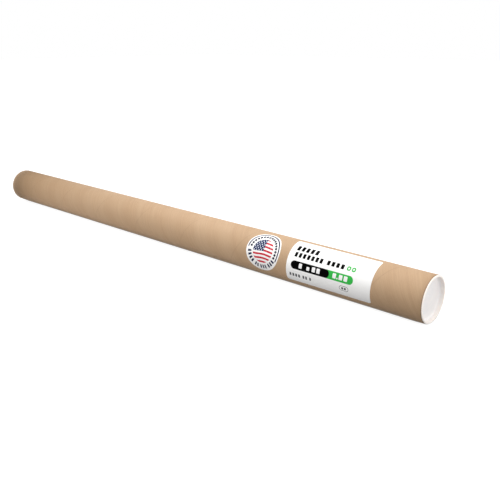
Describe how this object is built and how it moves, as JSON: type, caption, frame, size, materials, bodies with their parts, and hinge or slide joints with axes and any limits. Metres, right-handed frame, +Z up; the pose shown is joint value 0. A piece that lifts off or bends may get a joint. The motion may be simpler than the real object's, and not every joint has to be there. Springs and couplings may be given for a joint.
{
  "type": "mailing tube",
  "caption": "Long round kraft board mailing tube with recessed white plastic plugs that pull out of its ends, a white paper label and a round sticker near one end.",
  "frame": {"origin": "on the floor under the middle of the lying tube", "axes": "+X along the tube towards its labelled end, -Y towards the labelled side, +Z up"},
  "size_m": [1.2224, 0.0804, 0.0803],
  "materials": {
    "kraft_board": "matte",
    "white_plastic": "satin",
    "label_paper": "satin",
    "sticker_paper": "satin"
  },
  "bodies": {
    "tube": {"board_tube": "kraft_board", "paper_label": "label_paper", "round_sticker": "sticker_paper"},
    "near_plug": {"near_end_plug": "white_plastic"},
    "far_plug": {"far_end_plug": "white_plastic"}
  },
  "joints": [
    {"name": "near_plug_pull", "type": "slide", "parent": "tube", "child": "near_plug", "axis": [1, 0, 0], "range_m": [0, 0.06]},
    {"name": "far_plug_pull", "type": "slide", "parent": "tube", "child": "far_plug", "axis": [-1, 0, 0], "range_m": [0, 0.06]}
  ]
}
